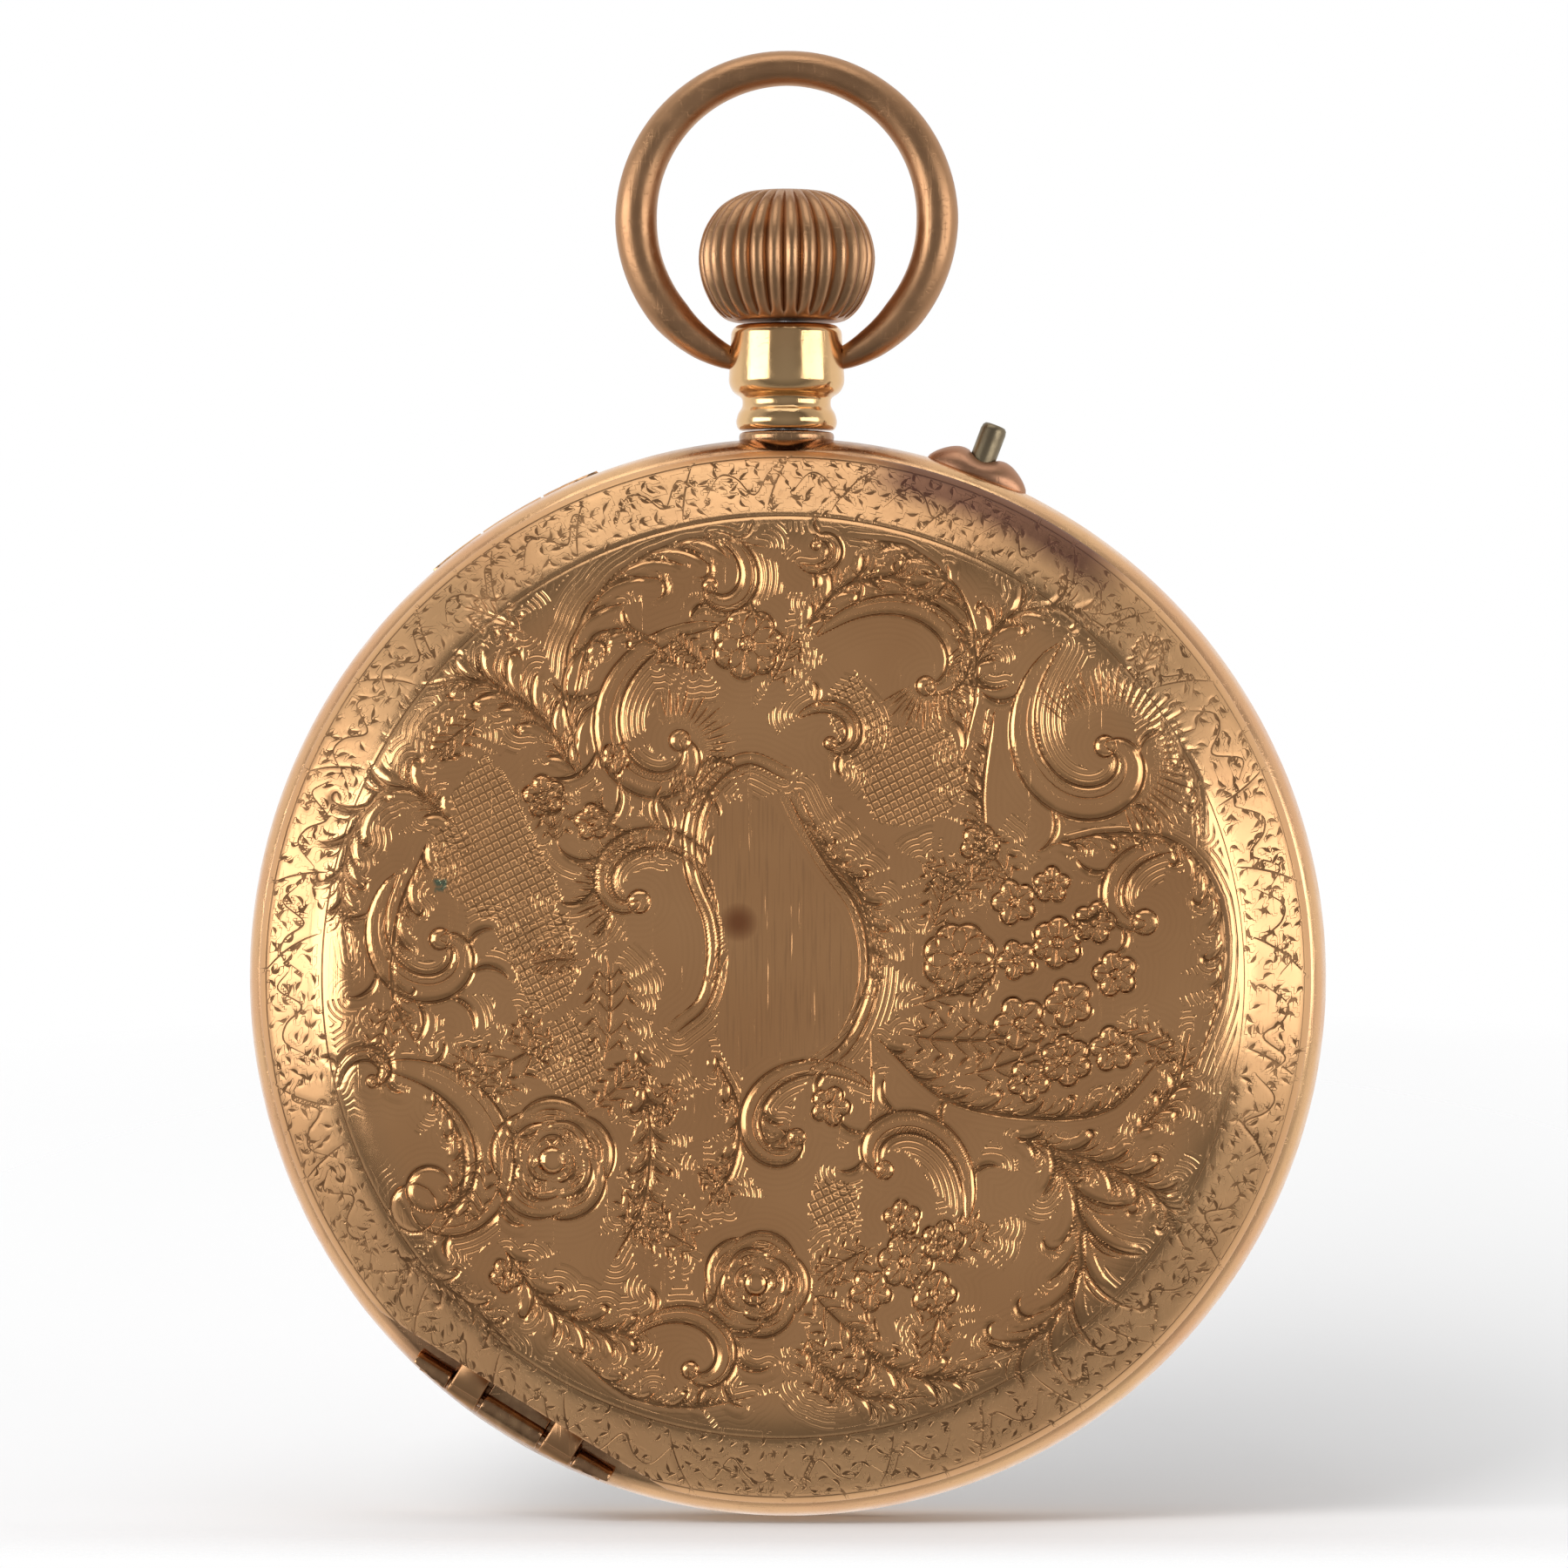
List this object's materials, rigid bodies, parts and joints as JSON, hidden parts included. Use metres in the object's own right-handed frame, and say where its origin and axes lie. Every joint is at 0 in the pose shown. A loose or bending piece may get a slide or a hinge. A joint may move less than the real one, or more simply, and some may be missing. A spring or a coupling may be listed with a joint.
{
  "type": "open face pocket watch",
  "caption": "Hand-wound open face pocket watch: hinged engraved back, inner dust cover, bezel with domed crystal, ribbed crown, round bow and a complete lever movement.",
  "frame": {"origin": "centre of the back cover's flat outer face", "axes": "+Z from the case's centre to the crown, +Y from the back to the dial, +X to the right seen from the back"},
  "size_m": [0.038, 0.0103, 0.0517],
  "materials": {
    "case_gold": "polished gold, lightly scratched",
    "cover_gold": "engraved and burnished gold",
    "cuvette_gold": "polished gold",
    "bow_gold": "polished rose gold",
    "dull_brass": "worn, dull",
    "gilt_plate": "frosted gilding",
    "gilt_wheel": "polished gilding",
    "steel": "ground and polished",
    "blued_steel": "heat blued",
    "blued_screw": "heat blued, polished head",
    "enamel": "glossy white enamel",
    "crystal_glass": "clear, polished",
    "jewel": "polished ruby"
  },
  "bodies": {
    "case": {"case_middle": "case_gold", "pendant": "case_gold", "back_hinge_pin": "case_gold", "bezel_hinge_pin": "case_gold", "olivette": "case_gold", "main_plate": "gilt_plate", "barrel_bridge": "gilt_plate", "train_bridge": "gilt_plate", "balance_cock": "gilt_plate", "pallet_cock": "gilt_plate", "balance_endstone": "jewel", "dial": "enamel", "click_spring": "steel", "barrel_bridge_screw_1": "blued_screw", "barrel_bridge_screw_2": "blued_screw", "train_bridge_screw_1": "blued_screw", "train_bridge_screw_2": "blued_screw", "case_screw_1": "blued_screw", "case_screw_2": "blued_screw", "balance_cock_screw": "blued_screw", "pallet_cock_screw": "blued_screw", "crown_wheel_screw": "blued_screw", "click_screw": "blued_screw"},
    "bow": {"bow": "bow_gold"},
    "crown": {"crown": "case_gold", "winding_stem": "steel", "winding_pinion": "steel"},
    "sliding_pinion": {"sliding_pinion": "steel"},
    "crown_wheel": {"crown_wheel": "steel"},
    "ratchet": {"ratchet_wheel": "steel", "ratchet_screw": "blued_screw", "barrel_arbor": "steel"},
    "click": {"click": "steel"},
    "setting_pin": {"setting_pin": "dull_brass"},
    "setting_lever": {"setting_lever": "steel"},
    "setting_wheel": {"setting_wheel": "steel"},
    "back_cover": {"back_cover": "cover_gold"},
    "cuvette": {"cuvette": "cuvette_gold"},
    "bezel": {"bezel": "case_gold", "crystal": "crystal_glass"},
    "barrel": {"barrel": "gilt_wheel", "barrel_cover": "gilt_wheel", "mainspring": "blued_steel"},
    "center": {"center_wheel": "gilt_wheel", "cannon_pinion": "steel", "minute_hand": "blued_steel"},
    "minute_wheel": {"minute_wheel": "gilt_wheel"},
    "hour_wheel": {"hour_wheel": "gilt_wheel", "hour_hand": "blued_steel"},
    "third_wheel": {"third_wheel": "gilt_wheel"},
    "fourth_wheel": {"fourth_wheel": "gilt_wheel", "second_hand": "blued_steel"},
    "escape_wheel": {"escape_wheel": "steel"},
    "pallet_fork": {"pallet_fork": "steel"},
    "balance": {"balance_wheel": "gilt_wheel", "hairspring": "blued_steel"},
    "regulator": {"regulator": "steel"}
  },
  "joints": [
    {"name": "bow_swing", "type": "hinge", "parent": "case", "child": "bow", "pos_m": [0, 0.0041, 0.0218], "axis": [1, 0, 0], "range_deg": [-80, 80]},
    {"name": "crown_spin", "type": "hinge", "parent": "case", "child": "crown", "pos_m": [0, 0.0041, 0.0255], "axis": [0, 0, 1], "continuous": true},
    {"name": "sliding_pinion_shift", "type": "slide", "parent": "crown", "child": "sliding_pinion", "axis": [0, 0, -1], "range_m": [0, 0.0008]},
    {"name": "crown_wheel_spin", "type": "hinge", "parent": "case", "child": "crown_wheel", "pos_m": [0, 0.0018, 0.01], "axis": [0, 1, 0], "continuous": true},
    {"name": "ratchet_spin", "type": "hinge", "parent": "case", "child": "ratchet", "pos_m": [0.00505, 0.0018, 0.00505], "axis": [0, 1, 0], "continuous": true},
    {"name": "click_lift", "type": "hinge", "parent": "case", "child": "click", "pos_m": [0.0112, 0.00158, 0.0074], "axis": [0, -1, 0], "range_deg": [0, 10], "stiffness_Nm_per_rad": 0.000002, "springref_deg": -5.73},
    {"name": "setting_pin_press", "type": "slide", "parent": "case", "child": "setting_pin", "axis": [-0.3551, 0, -0.9348], "range_m": [0, 0.0004], "stiffness_N_per_m": 50, "springref_m": -0.0001},
    {"name": "setting_lever_turn", "type": "hinge", "parent": "case", "child": "setting_lever", "pos_m": [0.0079, 0.0041, 0.0123], "axis": [0, -1, 0], "range_deg": [0, 6.7]},
    {"name": "setting_wheel_spin", "type": "hinge", "parent": "case", "child": "setting_wheel", "pos_m": [0, 0.0059, 0.0072], "axis": [0, -1, 0], "continuous": true},
    {"name": "back_cover_hinge", "type": "hinge", "parent": "case", "child": "back_cover", "pos_m": [-0.00959, 0.0025, -0.01559], "axis": [0.8517, 0, -0.524], "range_deg": [0, 95]},
    {"name": "cuvette_hinge", "type": "hinge", "parent": "case", "child": "cuvette", "pos_m": [-0.00959, 0.0025, -0.01559], "axis": [0.8517, 0, -0.524], "range_deg": [0, 77]},
    {"name": "bezel_hinge", "type": "hinge", "parent": "case", "child": "bezel", "pos_m": [-0.00966, 0.00605, 0.01607], "axis": [0.8572, 0, 0.515], "range_deg": [0, 80]},
    {"name": "barrel_spin", "type": "hinge", "parent": "case", "child": "barrel", "pos_m": [0.00505, 0.0035, 0.00505], "axis": [0, -1, 0], "continuous": true},
    {"name": "center_spin", "type": "hinge", "parent": "case", "child": "center", "pos_m": [0, 0.0027, 0], "axis": [0, -1, 0], "continuous": true},
    {"name": "minute_wheel_spin", "type": "hinge", "parent": "case", "child": "minute_wheel", "pos_m": [0, 0.00595, 0.0026], "axis": [0, -1, 0], "continuous": true},
    {"name": "hour_wheel_spin", "type": "hinge", "parent": "case", "child": "hour_wheel", "pos_m": [0, 0.0062, 0], "axis": [0, -1, 0], "continuous": true},
    {"name": "third_wheel_spin", "type": "hinge", "parent": "case", "child": "third_wheel", "pos_m": [-0.00312, 0.0034, -0.00441], "axis": [0, -1, 0], "continuous": true},
    {"name": "fourth_wheel_spin", "type": "hinge", "parent": "case", "child": "fourth_wheel", "pos_m": [0, 0.003, -0.008], "axis": [0, -1, 0], "continuous": true},
    {"name": "escape_wheel_spin", "type": "hinge", "parent": "case", "child": "escape_wheel", "pos_m": [0.0039, 0.0037, -0.0098], "axis": [0, -1, 0], "continuous": true},
    {"name": "pallet_rock", "type": "hinge", "parent": "case", "child": "pallet_fork", "pos_m": [0.00576, 0.0037, -0.00805], "axis": [0, -1, 0], "range_deg": [-5, 5]},
    {"name": "balance_swing", "type": "hinge", "parent": "case", "child": "balance", "pos_m": [0.009, 0.0026, -0.005], "axis": [0, -1, 0], "range_deg": [-220, 220], "stiffness_Nm_per_rad": 0.0000002, "deforming": ["hairspring"]},
    {"name": "regulator_turn", "type": "hinge", "parent": "case", "child": "regulator", "pos_m": [0.009, 0.0013, -0.005], "axis": [0, -1, 0], "range_deg": [-15, 15]}
  ],
  "couplings": [
    {"joint": "crown_wheel_spin", "follows": "crown_spin", "ratio": 0.5},
    {"joint": "ratchet_spin", "follows": "crown_spin", "ratio": -0.36842},
    {"joint": "sliding_pinion_shift", "follows": "setting_pin_press", "ratio": 2},
    {"joint": "setting_lever_turn", "follows": "setting_pin_press", "rad_per_m": 288},
    {"joint": "cuvette_hinge", "follows": "back_cover_hinge", "ratio": 0.8},
    {"joint": "barrel_spin", "follows": "center_spin", "ratio": -0.16667},
    {"joint": "minute_wheel_spin", "follows": "center_spin", "ratio": -0.33333},
    {"joint": "hour_wheel_spin", "follows": "center_spin", "ratio": 0.083333},
    {"joint": "setting_wheel_spin", "follows": "center_spin", "ratio": 0.25},
    {"joint": "third_wheel_spin", "follows": "center_spin", "ratio": -8},
    {"joint": "escape_wheel_spin", "follows": "fourth_wheel_spin", "ratio": -10}
  ]
}
